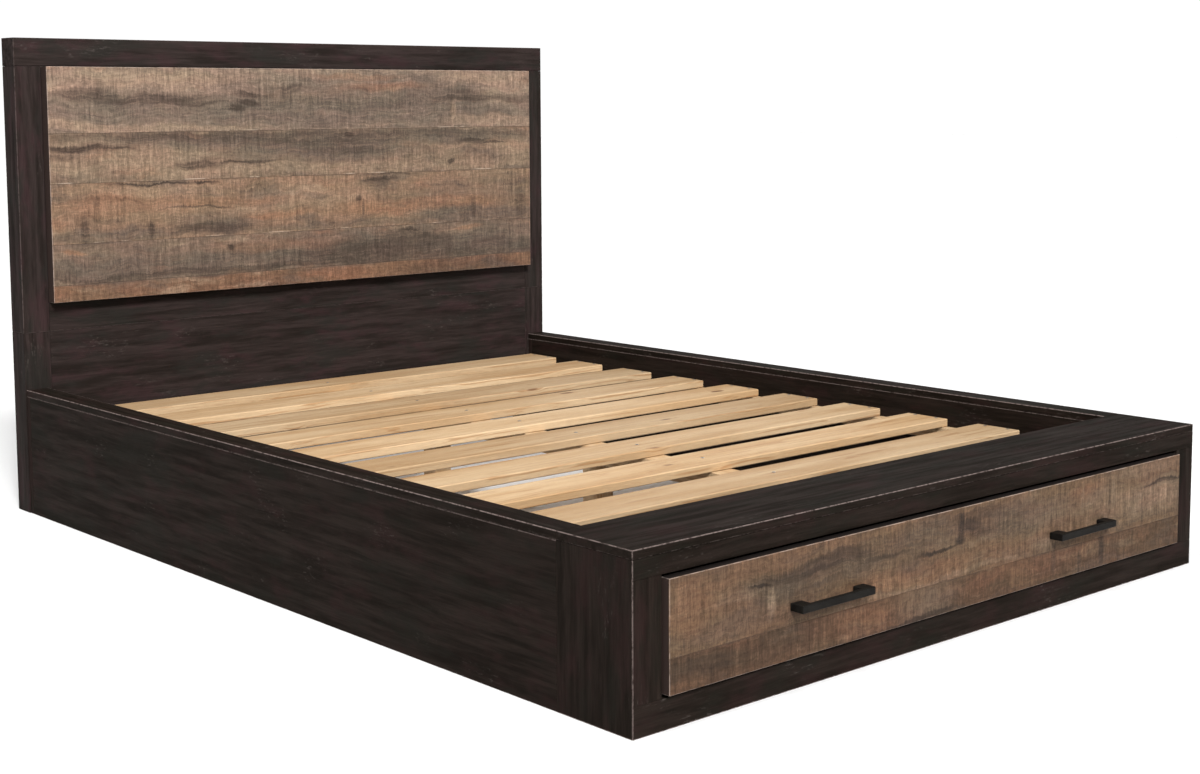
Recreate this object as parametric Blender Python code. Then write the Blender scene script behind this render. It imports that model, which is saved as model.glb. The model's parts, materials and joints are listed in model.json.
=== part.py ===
"""A storage bed frame for a mattress of 1.524 x 2.032 m, built up from laminated boards.

The bed stands on the floor at z = 0, with its foot towards -Y and its headboard towards +Y.
The origin is on the floor, in the middle of the bed's length and width.
A raised panel of printed planks fills the headboard, and one wide drawer slides out of the foot.
"""

from math import radians

import bmesh
import bpy
from mathutils import Vector

# Driving dimensions, in metres.
MATTRESS_LENGTH = 2.032
FRAME_WIDTH = 1.670
FRAME_HEIGHT = 0.311
RAIL_THICKNESS = 0.056
FOOT_DEPTH = 0.187
HEAD_WIDTH = 1.674
HEAD_HEIGHT = 1.180
HEAD_THICKNESS = 0.067
BAY_DEPTH = 0.500

# Boards.
GAP = 0.0003
BOARD = 0.016
HEAD_BOARD = 0.018
EDGE = 0.001

# Headboard.
HEAD_MEMBER = 0.069
HEAD_SPLIT = 0.452
HEAD_RAIL_TOP = 0.524
HEAD_RAIL_THICKNESS = 0.027
LOWER_PANEL_BOTTOM = 0.080
PANEL_PROUD = 0.029
PANEL_THICKNESS = 0.038
PANEL_CLEARANCE = 0.001
PANEL_SEAMS = (0.566, 0.668, 0.819, 0.944)
SEAM_WIDTH = 0.0036
SEAM_DEPTH = 0.0009
BATTEN_OFFSET = 0.560
BATTEN_WIDTH = 0.070
BATTEN_THICKNESS = 0.020
BATTEN_SPAN = (0.120, 1.070)

# Face frame at the foot, around the drawer front.
STILE_WIDTH = 0.0645
BOTTOM_RAIL_HEIGHT = 0.054
OPENING_TOP = 0.261
REVEAL = 0.006

# Drawer.
FRONT_PROUD = 0.012
FRONT_THICKNESS = 0.022
FRONT_SEAM = 0.121
BOX_BOARD = 0.014
BOX_BOTTOM = 0.072
BOX_TOP = 0.187
BOX_LENGTH = 0.440
BOTTOM_BOARD = 0.005
BOTTOM_HEIGHT = 0.082
GROOVE_DEPTH = 0.0055
BRACE_WIDTH = 0.060

# Handles.
HANDLE_OFFSET = 0.3815
HANDLE_HEIGHT = 0.154
HANDLE_LENGTH = 0.192
HANDLE_PROJECTION = 0.030
HANDLE_BAR = 0.009
HANDLE_POST = 0.028
HANDLE_FACE = 0.014
HANDLE_EDGE = 0.0012

# Ball-bearing slides, one on each side of the drawer. Each member is a rolled channel: its web and
# the tips of its lips are measured from the runner board, and its start from the foot's front.
SLIDE_ROOM = 0.0127
SLIDE_HEIGHT = 0.1295
SLIDE_STEEL = 0.0012
SLIDE_OUTER = {"web": GAP, "lip": 0.0095, "half_height": 0.0225, "start": 0.020, "length": 0.400}
SLIDE_MIDDLE = {"web": 0.0030, "lip": 0.0108, "half_height": 0.0195, "start": 0.024, "length": 0.390}
SLIDE_INNER = {"web": 0.0124, "lip": 0.0055, "half_height": 0.0165, "start": 0.028, "length": 0.400}

# Mattress support.
RUNNER_TOP = 0.190
RUNNER_LAP = 0.008
LEDGER_TOP = 0.2307
LEDGER_HEIGHT = 0.030
LEDGER_WIDTH = 0.022
SLAT_COUNT = 10
SLAT_WIDTH = 0.120
SLAT_THICKNESS = 0.019
SLAT_END_ROOM = 0.015
CENTRE_RAIL_WIDTH = 0.060
CENTRE_RAIL_HEIGHT = 0.0375
CENTRE_LEG_WIDTH = 0.050
CENTRE_LEGS = (-0.100, 0.520)
INNER_BOARD_BOTTOM = 0.195

# Positions that follow from the dimensions above.
TOTAL_LENGTH = HANDLE_PROJECTION + FRONT_PROUD + FOOT_DEPTH + MATTRESS_LENGTH + HEAD_THICKNESS
FOOT_Y = HANDLE_PROJECTION + FRONT_PROUD - TOTAL_LENGTH / 2
RAIL_Y = FOOT_Y + FOOT_DEPTH
HEAD_Y = RAIL_Y + MATTRESS_LENGTH
HALF_WIDTH = FRAME_WIDTH / 2
HEAD_HALF = HEAD_WIDTH / 2
RAIL_INNER = HALF_WIDTH - RAIL_THICKNESS
CAP_BOTTOM = FRAME_HEIGHT - BOARD
HEAD_OPENING = HEAD_HALF - HEAD_MEMBER
OPENING_HALF = HALF_WIDTH - STILE_WIDTH
FRONT_HALF = OPENING_HALF - REVEAL
RUNNER_INNER = OPENING_HALF - RUNNER_LAP
BOX_HALF = RUNNER_INNER - SLIDE_ROOM
BOX_INNER = BOX_HALF - BOX_BOARD
BOX_FRONT_Y = FOOT_Y - FRONT_PROUD + FRONT_THICKNESS + GAP
BOX_BACK_Y = BOX_FRONT_Y + BOX_LENGTH
BAY_BACK_Y = FOOT_Y + BAY_DEPTH
SLAT_BOTTOM = LEDGER_TOP + GAP

SIDES = (("left", -1), ("right", 1))


def clear_scene():
    for old in list(bpy.data.objects):
        bpy.data.objects.remove(old, do_unlink=True)


def new_material(name, colour, roughness, metallic=0.0):
    material = bpy.data.materials.new(name)
    material.use_nodes = True
    shader = material.node_tree.nodes["Principled BSDF"]
    shader.inputs["Base Color"].default_value = (*colour, 1.0)
    shader.inputs["Roughness"].default_value = roughness
    shader.inputs["Metallic"].default_value = metallic
    return material


def new_pivot(name, location):
    """An empty on a body's joint axis, which carries that body's pieces."""
    pivot = bpy.data.objects.new(name, None)
    pivot.location = location
    pivot.empty_display_size = 0.05
    bpy.context.scene.collection.objects.link(pivot)
    return pivot


def between(sign, inner, outer):
    """The span from inner to outer on one side of the bed's middle, lowest first."""
    return tuple(sorted((sign * inner, sign * outer)))


def soften(piece, width):
    """Takes the square edges off a piece, and leaves its shallow grooves as they are."""
    bevel = piece.modifiers.new("soft_edges", "BEVEL")
    bevel.width = width
    bevel.segments = 1
    bevel.limit_method = "ANGLE"
    bevel.angle_limit = radians(60)
    bevel.use_clamp_overlap = True


def place(name, shape, centre, pivot, material):
    """Turns a bmesh, drawn around the centre, into a named object that rides on a pivot."""
    bmesh.ops.recalc_face_normals(shape, faces=shape.faces)
    mesh = bpy.data.meshes.new(name)
    shape.to_mesh(mesh)
    shape.free()
    mesh.materials.append(material)
    piece = bpy.data.objects.new(name, mesh)
    bpy.context.scene.collection.objects.link(piece)
    piece.parent = pivot
    piece.location = centre - pivot.location
    return piece


def board(name, x, y, z, pivot, material, edge=EDGE):
    """A rectangular board that fills the given spans along X, Y and Z."""
    low = Vector((x[0], y[0], z[0]))
    high = Vector((x[1], y[1], z[1]))
    shape = bmesh.new()
    bmesh.ops.create_cube(shape, size=1.0)
    bmesh.ops.scale(shape, vec=high - low, verts=shape.verts)
    piece = place(name, shape, (low + high) / 2, pivot, material)
    if edge:
        soften(piece, edge)
    return piece


def extrusion(name, outline, axis, span, pivot, material, edge=0.0):
    """An outline pushed along an axis. Its points are pairs along the other two axes, in order."""
    across = [i for i in range(3) if i != axis]
    corners = []
    for first, second in outline:
        corner = Vector((0.0, 0.0, 0.0))
        corner[across[0]] = first
        corner[across[1]] = second
        corner[axis] = span[0]
        corners.append(corner)
    centre = sum(corners, Vector()) / len(corners)
    centre[axis] = (span[0] + span[1]) / 2
    push = Vector((0.0, 0.0, 0.0))
    push[axis] = span[1] - span[0]
    shape = bmesh.new()
    face = shape.faces.new([shape.verts.new(corner - centre) for corner in corners])
    swept = bmesh.ops.extrude_face_region(shape, geom=[face])["geom"]
    moved = [item for item in swept if isinstance(item, bmesh.types.BMVert)]
    bmesh.ops.translate(shape, verts=moved, vec=push)
    piece = place(name, shape, centre, pivot, material)
    if edge:
        soften(piece, edge)
    return piece


def planked_outline(front_y, back_y, bottom, top, seams):
    """The Y-Z section of a board whose front has a shallow V groove at each seam between planks."""
    outline = [(back_y, bottom), (front_y, bottom)]
    for seam in seams:
        outline.append((front_y, seam - SEAM_WIDTH / 2))
        outline.append((front_y + SEAM_DEPTH, seam))
        outline.append((front_y, seam + SEAM_WIDTH / 2))
    outline += [(front_y, top), (back_y, top)]
    return outline


def build_headboard(bed, laminate, plank):
    front = HEAD_Y
    back = HEAD_Y + HEAD_THICKNESS
    top_rail_bottom = HEAD_HEIGHT - HEAD_MEMBER
    inside = (-HEAD_OPENING + GAP, HEAD_OPENING - GAP)
    backing = (front + HEAD_RAIL_THICKNESS - HEAD_BOARD, front + HEAD_RAIL_THICKNESS)

    for side, sign in SIDES:
        member = between(sign, HEAD_OPENING, HEAD_HALF)
        board(f"headboard_{side}_leg", member, (front, back), (0, HEAD_SPLIT - GAP), bed, laminate)
        stile_span = (HEAD_SPLIT, top_rail_bottom - GAP)
        board(f"headboard_{side}_stile", member, (front, back), stile_span, bed, laminate)
        batten = between(sign, BATTEN_OFFSET - BATTEN_WIDTH / 2, BATTEN_OFFSET + BATTEN_WIDTH / 2)
        batten_y = (backing[1] + GAP, backing[1] + GAP + BATTEN_THICKNESS)
        board(f"headboard_{side}_batten", batten, batten_y, BATTEN_SPAN, bed, laminate)

    top_span = (top_rail_bottom, HEAD_HEIGHT)
    board("headboard_top_rail", (-HEAD_HALF, HEAD_HALF), (front, back), top_span, bed, laminate)
    rail_y = (front, front + HEAD_RAIL_THICKNESS)
    board("headboard_bottom_rail", inside, rail_y, (HEAD_SPLIT, HEAD_RAIL_TOP), bed, laminate)
    lower_span = (LOWER_PANEL_BOTTOM, HEAD_SPLIT - GAP)
    board("headboard_lower_panel", inside, rail_y, lower_span, bed, laminate)
    back_span = (HEAD_RAIL_TOP + GAP, top_rail_bottom - GAP)
    back_y = (backing[0] + GAP, backing[1])
    board("headboard_back_panel", inside, back_y, back_span, bed, laminate)

    panel_half = HEAD_OPENING - PANEL_CLEARANCE
    outline = planked_outline(
        front - PANEL_PROUD,
        front - PANEL_PROUD + PANEL_THICKNESS,
        HEAD_RAIL_TOP + PANEL_CLEARANCE,
        top_rail_bottom - PANEL_CLEARANCE,
        PANEL_SEAMS,
    )
    panel_span = (-panel_half, panel_half)
    extrusion("headboard_plank_panel", outline, 0, panel_span, bed, plank, EDGE)


def build_side_rails(bed, laminate, pine):
    """Each side rail is a hollow box of boards, with a ledger inside it for the slats."""
    rail_end = HEAD_Y - GAP
    length = (RAIL_Y + GAP, rail_end)
    panel_length = (RAIL_Y + GAP, rail_end - BOARD - GAP)
    standing = (0, CAP_BOTTOM - GAP)
    for side, sign in SIDES:
        whole = between(sign, RAIL_INNER, HALF_WIDTH)
        outer = between(sign, HALF_WIDTH - BOARD, HALF_WIDTH)
        inner = between(sign, RAIL_INNER, RAIL_INNER + BOARD)
        ledger = between(sign, RAIL_INNER - GAP - LEDGER_WIDTH, RAIL_INNER - GAP)
        board(f"{side}_rail_outer_board", outer, panel_length, standing, bed, laminate)
        board(f"{side}_rail_inner_board", inner, panel_length, standing, bed, laminate)
        board(f"{side}_rail_end_board", whole, (rail_end - BOARD, rail_end), standing, bed, laminate)
        board(f"{side}_rail_cap", whole, length, (CAP_BOTTOM, FRAME_HEIGHT), bed, laminate)
        ledger_span = (LEDGER_TOP - LEDGER_HEIGHT, LEDGER_TOP)
        board(f"{side}_slat_ledger", ledger, length, ledger_span, bed, pine)


def build_foot(bed, laminate):
    """The foot is a shallow box. Its front corners are mitred, so no board ends show there."""
    front = FOOT_Y
    back = FOOT_Y + BOARD
    whole = (-HALF_WIDTH, HALF_WIDTH)
    inside = HALF_WIDTH - BOARD
    mitred = [(-HALF_WIDTH, front), (HALF_WIDTH, front), (inside, back), (-inside, back)]
    top_span = (OPENING_TOP, CAP_BOTTOM - GAP)
    extrusion("foot_front_top_rail", mitred, 2, top_span, bed, laminate, EDGE / 2)
    bottom_span = (0, BOTTOM_RAIL_HEIGHT)
    extrusion("foot_front_bottom_rail", mitred, 2, bottom_span, bed, laminate, EDGE / 2)

    stile_span = (BOTTOM_RAIL_HEIGHT + GAP, OPENING_TOP - GAP)
    for side, sign in SIDES:
        stile = [
            (sign * OPENING_HALF, front),
            (sign * HALF_WIDTH, front),
            (sign * inside, back),
            (sign * OPENING_HALF, back),
        ]
        extrusion(f"foot_front_{side}_stile", stile, 2, stile_span, bed, laminate, EDGE / 2)
        side_panel = [
            (sign * HALF_WIDTH, front + 2 * GAP),
            (sign * HALF_WIDTH, RAIL_Y),
            (sign * inside, RAIL_Y),
            (sign * inside, back + 2 * GAP),
        ]
        side_span = (0, CAP_BOTTOM - GAP)
        extrusion(f"foot_{side}_panel", side_panel, 2, side_span, bed, laminate, EDGE / 2)

    board("foot_top_panel", whole, (front, RAIL_Y), (CAP_BOTTOM, FRAME_HEIGHT), bed, laminate)
    inner_x = (-inside + GAP, inside - GAP)
    inner_z = (INNER_BOARD_BOTTOM, CAP_BOTTOM - GAP)
    board("foot_inner_board", inner_x, (RAIL_Y - BOARD, RAIL_Y), inner_z, bed, laminate)


def build_drawer_bay(bed, carcass):
    """Boards under the slats that carry the slides and close the space behind the drawer."""
    for side, sign in SIDES:
        runner = between(sign, RUNNER_INNER, RUNNER_INNER + BOARD)
        runner_y = (FOOT_Y + BOARD + GAP, BAY_BACK_Y)
        board(f"{side}_runner_board", runner, runner_y, (0, RUNNER_TOP), bed, carcass)
    half = RUNNER_INNER + BOARD
    back_y = (BAY_BACK_Y + GAP, BAY_BACK_Y + GAP + BOARD)
    board("drawer_bay_back", (-half, half), back_y, (0, RUNNER_TOP), bed, carcass)


def build_slats(bed, pine):
    """Slats lie across the ledgers and the centre rail, which stands on two legs."""
    rail_z = (LEDGER_TOP - CENTRE_RAIL_HEIGHT, LEDGER_TOP)
    rail_x = (-CENTRE_RAIL_WIDTH / 2, CENTRE_RAIL_WIDTH / 2)
    board("centre_rail", rail_x, (RAIL_Y + GAP, HEAD_Y - GAP), rail_z, bed, pine)
    for number, y in enumerate(CENTRE_LEGS, start=1):
        half = CENTRE_LEG_WIDTH / 2
        leg_z = (0, rail_z[0] - GAP)
        board(f"centre_leg_{number}", (-half, half), (y - half, y + half), leg_z, bed, pine)

    first = RAIL_Y + SLAT_END_ROOM
    pitch = (MATTRESS_LENGTH - 2 * SLAT_END_ROOM - SLAT_WIDTH) / (SLAT_COUNT - 1)
    half = RAIL_INNER - EDGE
    for number in range(SLAT_COUNT):
        y = first + number * pitch
        slat_z = (SLAT_BOTTOM, SLAT_BOTTOM + SLAT_THICKNESS)
        name = f"slat_{number + 1:02d}"
        board(name, (-half, half), (y, y + SLAT_WIDTH), slat_z, bed, pine, 2 * EDGE)


def build_drawer_box(drawer, carcass):
    """Sides, inner front and back, around a thin bottom held in grooves."""
    groove = (BOTTOM_HEIGHT - GAP, BOTTOM_HEIGHT + BOTTOM_BOARD + GAP)
    for side, sign in SIDES:
        outline = [
            (sign * BOX_HALF, BOX_BOTTOM),
            (sign * BOX_HALF, BOX_TOP),
            (sign * BOX_INNER, BOX_TOP),
            (sign * BOX_INNER, groove[1]),
            (sign * (BOX_INNER + GROOVE_DEPTH), groove[1]),
            (sign * (BOX_INNER + GROOVE_DEPTH), groove[0]),
            (sign * BOX_INNER, groove[0]),
            (sign * BOX_INNER, BOX_BOTTOM),
        ]
        span = (BOX_FRONT_Y, BOX_BACK_Y)
        extrusion(f"drawer_{side}_side", outline, 1, span, drawer, carcass)

    inside = (-BOX_INNER + GAP, BOX_INNER - GAP)
    inner_face = BOX_FRONT_Y + BOX_BOARD
    outline = [
        (BOX_FRONT_Y, BOX_BOTTOM),
        (BOX_FRONT_Y, BOX_TOP),
        (inner_face, BOX_TOP),
        (inner_face, groove[1]),
        (inner_face - GROOVE_DEPTH, groove[1]),
        (inner_face - GROOVE_DEPTH, groove[0]),
        (inner_face, groove[0]),
        (inner_face, BOX_BOTTOM),
    ]
    extrusion("drawer_inner_front", outline, 0, inside, drawer, carcass)

    back_z = (groove[1], BOX_TOP)
    back_y = (BOX_BACK_Y - BOX_BOARD, BOX_BACK_Y)
    board("drawer_back", inside, back_y, back_z, drawer, carcass, 0)
    bottom_half = BOX_INNER + GROOVE_DEPTH - 2 * GAP
    bottom_y = (inner_face - GROOVE_DEPTH + 2 * GAP, BOX_BACK_Y)
    bottom_z = (BOTTOM_HEIGHT, BOTTOM_HEIGHT + BOTTOM_BOARD)
    board("drawer_bottom", (-bottom_half, bottom_half), bottom_y, bottom_z, drawer, carcass, 0)
    brace_x = (-BRACE_WIDTH / 2, BRACE_WIDTH / 2)
    brace_y = (inner_face + GAP, BOX_BACK_Y)
    brace_z = (BOX_BOTTOM, BOTTOM_HEIGHT - GAP)
    board("drawer_bottom_brace", brace_x, brace_y, brace_z, drawer, carcass, 0)


def build_drawer_front(drawer, plank, black):
    """The planked front stands proud of the face frame and carries two bridge handles."""
    face = FOOT_Y - FRONT_PROUD
    outline = planked_outline(
        face,
        face + FRONT_THICKNESS,
        BOTTOM_RAIL_HEIGHT + REVEAL,
        OPENING_TOP - REVEAL,
        (FRONT_SEAM,),
    )
    extrusion("drawer_front", outline, 0, (-FRONT_HALF, FRONT_HALF), drawer, plank, EDGE)

    half = HANDLE_LENGTH / 2
    grip = half - HANDLE_POST
    tip = face - HANDLE_PROJECTION
    height = (HANDLE_HEIGHT - HANDLE_FACE / 2, HANDLE_HEIGHT + HANDLE_FACE / 2)
    for side, sign in SIDES:
        middle = sign * HANDLE_OFFSET
        outline = [
            (middle - half, face - GAP),
            (middle - half, tip),
            (middle + half, tip),
            (middle + half, face - GAP),
            (middle + grip, face - GAP),
            (middle + grip, tip + HANDLE_BAR),
            (middle - grip, tip + HANDLE_BAR),
            (middle - grip, face - GAP),
        ]
        extrusion(f"{side}_handle", outline, 2, height, drawer, black, HANDLE_EDGE)


def channel_outline(sign, member):
    """The X-Z section of a slide member, from its web to the tips of its two lips."""
    web, lip, tall = member["web"], member["lip"], member["half_height"]
    inside = web + SLIDE_STEEL if lip > web else web - SLIDE_STEEL
    points = [
        (web, -tall),
        (lip, -tall),
        (lip, -tall + SLIDE_STEEL),
        (inside, -tall + SLIDE_STEEL),
        (inside, tall - SLIDE_STEEL),
        (lip, tall - SLIDE_STEEL),
        (lip, tall),
        (web, tall),
    ]
    return [(sign * (RUNNER_INNER - x), SLIDE_HEIGHT + z) for x, z in points]


def build_slides(bed, drawer, middle_pivots, steel):
    """Three nested channels a side: one on the runner board, one between, one on the drawer."""
    for side, sign in SIDES:
        members = (
            ("outer", SLIDE_OUTER, bed),
            ("middle", SLIDE_MIDDLE, middle_pivots[side]),
            ("inner", SLIDE_INNER, drawer),
        )
        for name, member, pivot in members:
            start = FOOT_Y + member["start"]
            span = (start, start + member["length"])
            outline = channel_outline(sign, member)
            extrusion(f"{side}_slide_{name}", outline, 1, span, pivot, steel)


def build_bed():
    clear_scene()
    laminate = new_material("ebony_laminate", (0.030, 0.024, 0.021), 0.55)
    plank = new_material("plank_laminate", (0.25, 0.18, 0.13), 0.6)
    pine = new_material("slat_pine", (0.56, 0.40, 0.24), 0.65)
    carcass = new_material("drawer_board", (0.08, 0.06, 0.05), 0.55)
    black = new_material("handle_black", (0.012, 0.012, 0.012), 0.4, 0.6)
    steel = new_material("slide_steel", (0.60, 0.61, 0.63), 0.35, 1.0)

    bed = new_pivot("bed_pivot", (0, 0, 0))
    drawer = new_pivot("drawer_pivot", (0, FOOT_Y, SLIDE_HEIGHT))
    middle_pivots = {}
    for side, sign in SIDES:
        slide_x = sign * (RUNNER_INNER - SLIDE_ROOM / 2)
        middle_pivots[side] = new_pivot(f"{side}_slide_pivot", (slide_x, FOOT_Y, SLIDE_HEIGHT))

    build_headboard(bed, laminate, plank)
    build_side_rails(bed, laminate, pine)
    build_foot(bed, laminate)
    build_drawer_bay(bed, carcass)
    build_slats(bed, pine)
    build_drawer_box(drawer, carcass)
    build_drawer_front(drawer, plank, black)
    build_slides(bed, drawer, middle_pivots, steel)


build_bed()
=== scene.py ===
"""Finishes, small hardware, light and camera for a wooden bed frame with a foot drawer.

Lengths are in metres. Places come from the frame's own boxes, and object coordinates are the
same as the frame's: x across the bed, y from foot to head, z up.
"""

import json
import math
from collections import namedtuple

import bmesh
import bpy
from mathutils import Matrix, Vector


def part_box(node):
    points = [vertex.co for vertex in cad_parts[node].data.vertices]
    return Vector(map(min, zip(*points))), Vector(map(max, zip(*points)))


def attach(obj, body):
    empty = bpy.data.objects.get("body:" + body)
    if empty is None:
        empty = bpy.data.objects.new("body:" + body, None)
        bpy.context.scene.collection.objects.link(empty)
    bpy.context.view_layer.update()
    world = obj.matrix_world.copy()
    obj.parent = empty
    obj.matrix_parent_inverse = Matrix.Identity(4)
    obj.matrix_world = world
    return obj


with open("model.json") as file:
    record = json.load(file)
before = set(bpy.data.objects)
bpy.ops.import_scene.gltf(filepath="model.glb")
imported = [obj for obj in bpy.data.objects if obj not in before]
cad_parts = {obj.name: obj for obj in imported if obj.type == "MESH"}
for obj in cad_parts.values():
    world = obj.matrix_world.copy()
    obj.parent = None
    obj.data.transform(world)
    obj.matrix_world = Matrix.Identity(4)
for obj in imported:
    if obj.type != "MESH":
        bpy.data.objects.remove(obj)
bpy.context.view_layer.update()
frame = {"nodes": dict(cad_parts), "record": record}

# The camera stands off the foot's left corner, as high as the headboard's upper planks, and
# looks a little down.
CAMERA_PLACE = (-2.760, -3.210, 1.021)
CAMERA_YAW = math.radians(41.68)
CAMERA_PITCH = math.radians(5.95)
CAMERA_ROLL = math.radians(-0.25)
CAMERA_LENS = 54.87
CAMERA_SENSOR = 36.0
CAMERA_SHIFT = -0.08

ACROSS, ALONG, UPRIGHT = 0, 1, 2


# ---------------------------------------------------------------- node materials

class Finish:
    """A node material being built. Each method adds one step and returns its output."""

    def __init__(self, name):
        self.material = bpy.data.materials.new(name)
        self.material.use_nodes = True
        self.tree = self.material.node_tree
        self.shader = self.tree.nodes["Principled BSDF"]
        self.place = self.add("ShaderNodeTexCoord").outputs["Object"]

    def add(self, kind, **settings):
        node = self.tree.nodes.new(kind)
        for setting, value in settings.items():
            setattr(node, setting, value)
        return node

    def feed(self, socket, value):
        """Links a socket to an earlier step's output, or sets it to a number or a vector."""
        if isinstance(value, bpy.types.NodeSocket):
            self.tree.links.new(value, socket)
        else:
            socket.default_value = value

    def maths(self, operation, *values):
        node = self.add("ShaderNodeMath", operation=operation)
        for socket, value in zip(node.inputs, values):
            self.feed(socket, value)
        return node.outputs[0]

    def product(self, *values):
        """Several values multiplied together."""
        total = values[0]
        for value in values[1:]:
            total = self.maths("MULTIPLY", total, value)
        return total

    def centred(self, noise, reach):
        """Turns a noise, whose middle is 0.5, into values around 0 that go to half the reach."""
        return self.product(self.maths("SUBTRACT", noise, 0.5), reach)

    def vector(self, operation, *values):
        node = self.add("ShaderNodeVectorMath", operation=operation)
        for socket, value in zip(node.inputs, values):
            self.feed(socket, value)
        return node.outputs["Value" if operation == "LENGTH" else "Vector"]

    def split(self, vector):
        node = self.add("ShaderNodeSeparateXYZ")
        self.feed(node.inputs[0], vector)
        return list(node.outputs)

    def join(self, x, y, z):
        node = self.add("ShaderNodeCombineXYZ")
        for socket, value in zip(node.inputs, (x, y, z)):
            self.feed(socket, value)
        return node.outputs[0]

    def between(self, value, low, high, start=0.0, end=1.0):
        """Goes smoothly from start to end as the value goes from low to high, and stops there."""
        node = self.add("ShaderNodeMapRange", interpolation_type="SMOOTHSTEP")
        for socket, number in zip(node.inputs, (value, low, high, start, end)):
            self.feed(socket, number)
        return node.outputs[0]

    def noise(self, place, size, detail=2.0, roughness=0.5):
        """Soft random values around 0.5, whose patches have the given size along x, y and z."""
        node = self.add("ShaderNodeTexNoise")
        node.inputs["Scale"].default_value = 1.0
        node.inputs["Detail"].default_value = detail
        node.inputs["Roughness"].default_value = roughness
        shrunk = self.vector("MULTIPLY", place, tuple(1.0 / length for length in size))
        self.feed(node.inputs["Vector"], shrunk)
        return node.outputs["Fac"]

    def cells(self, place, size):
        """The distance to the nearest of scattered points, about one in each cell of that size."""
        node = self.add("ShaderNodeTexVoronoi")
        node.inputs["Scale"].default_value = 1.0
        shrunk = self.vector("MULTIPLY", place, tuple(1.0 / length for length in size))
        self.feed(node.inputs["Vector"], shrunk)
        return node.outputs["Distance"]

    def mix(self, factor, first, second, blend="MIX"):
        node = self.add("ShaderNodeMix", data_type="RGBA", blend_type=blend)
        self.feed(node.inputs[0], factor)
        self.feed(node.inputs[6], first)
        self.feed(node.inputs[7], second)
        return node.outputs[2]

    def dim(self, colour, *values):
        """Makes a colour darker or lighter by the product of some values."""
        total = self.product(*values)
        return self.mix(1.0, colour, self.join(total, total, total), "MULTIPLY")

    def steps(self, value, stops):
        """The colour of the last stop at or below the value."""
        node = self.add("ShaderNodeValToRGB")
        ramp = node.color_ramp
        ramp.interpolation = "CONSTANT"
        while len(ramp.elements) < len(stops):
            ramp.elements.new(1.0)
        for element, (position, colour) in zip(ramp.elements, stops):
            element.position = position
            element.color = colour
        self.feed(node.inputs[0], value)
        return node.outputs[0]

    def bump(self, height, depth, under=None):
        """The surface's direction where height 0 to 1 stands for a relief of that depth."""
        node = self.add("ShaderNodeBump")
        node.inputs["Distance"].default_value = depth
        self.feed(node.inputs["Height"], height)
        if under is not None:
            self.feed(node.inputs["Normal"], under)
        return node.outputs["Normal"]

    def edge_distance(self, low, high):
        """The distance from a point on a box's face to the nearest edge of that box."""
        gaps = []
        for value, start, end in zip(self.split(self.place), low, high):
            to_start = self.maths("ABSOLUTE", self.maths("SUBTRACT", value, start))
            to_end = self.maths("ABSOLUTE", self.maths("SUBTRACT", value, end))
            gaps.append(self.maths("MINIMUM", to_start, to_end))
        smaller = self.maths("MINIMUM", gaps[0], gaps[1])
        larger = self.maths("MAXIMUM", gaps[0], gaps[1])
        return self.maths("MAXIMUM", smaller, self.maths("MINIMUM", larger, gaps[2]))

    def finish(self, colour, roughness, normal=None, specular=0.5, metallic=0.0):
        self.feed(self.shader.inputs["Base Color"], colour)
        self.feed(self.shader.inputs["Roughness"], roughness)
        if normal is not None:
            self.feed(self.shader.inputs["Normal"], normal)
        self.shader.inputs["Specular IOR Level"].default_value = specular
        self.shader.inputs["Metallic"].default_value = metallic
        return self.material


def grain_size(grain, length, width):
    """A patch's size along x, y and z: long with the grain, and narrow across it."""
    return tuple(length if axis == grain else width for axis in range(3))


SEED_STEP = (3.7, 5.3, 2.9)


def shifted(finish, seed):
    """The surface's place, moved far off by a seed, so that no two boards share a figure."""
    return finish.vector("ADD", finish.place, tuple(seed * step for step in SEED_STEP))


def swayed(finish, place, grain, aside, reach=1.0):
    """The place moved across the grain by a value times a reach, so that a figure is wavy."""
    move = finish.vector("MULTIPLY", finish.join(aside, aside, aside), grain_size(grain, 0.0, reach))
    return finish.vector("ADD", place, move)


# The near-black foil. A patch, streak or fibre has a length along the grain and a width.
EBONY = (0.0135, 0.0098, 0.0072, 1.0)
EBONY_LIGHT = (0.028, 0.0195, 0.0155, 1.0)
EBONY_RED = (0.034, 0.0175, 0.0160, 1.0)
EBONY_GREY = (0.0170, 0.0155, 0.0115, 1.0)
EBONY_BEND = (0.30, 0.05)
EBONY_SWAY = 0.02
EBONY_STREAK = (0.24, 0.015)
EBONY_FIBRE = (0.070, 0.0016)
EBONY_RED_PATCH = (0.13, 0.05)
EBONY_GREY_PATCH = (0.18, 0.06)
EBONY_GREY_SHIFT = (7.0, 3.0, 5.0)
EBONY_RELIEF = 0.0006
SCUFF = (0.075, 0.062, 0.056, 1.0)
SCUFF_PATCH = (0.16, 0.07)
SCRATCH = (0.018, 0.005)
# The pale edge line is partly wear and partly painted highlight where edges catch the light.
EDGE_WEAR_AND_HIGHLIGHT = (0.30, 0.235, 0.215, 1.0)
EDGE_WIDTH = 0.0022
EDGE_BREAK = (0.010, 0.010, 0.010)


def scuffed(finish, colour, place, grain):
    """A few patches of fine pale scratches along the grain."""
    patch = finish.noise(place, grain_size(grain, *SCUFF_PATCH), 2.0)
    scratches = finish.noise(place, grain_size(grain, *SCRATCH), 4.0, 0.65)
    scuffs = finish.product(finish.between(patch, 0.56, 0.68),
                            finish.between(scratches, 0.54, 0.70, 0.0, 0.38))
    return finish.mix(scuffs, colour, SCUFF)


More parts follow.
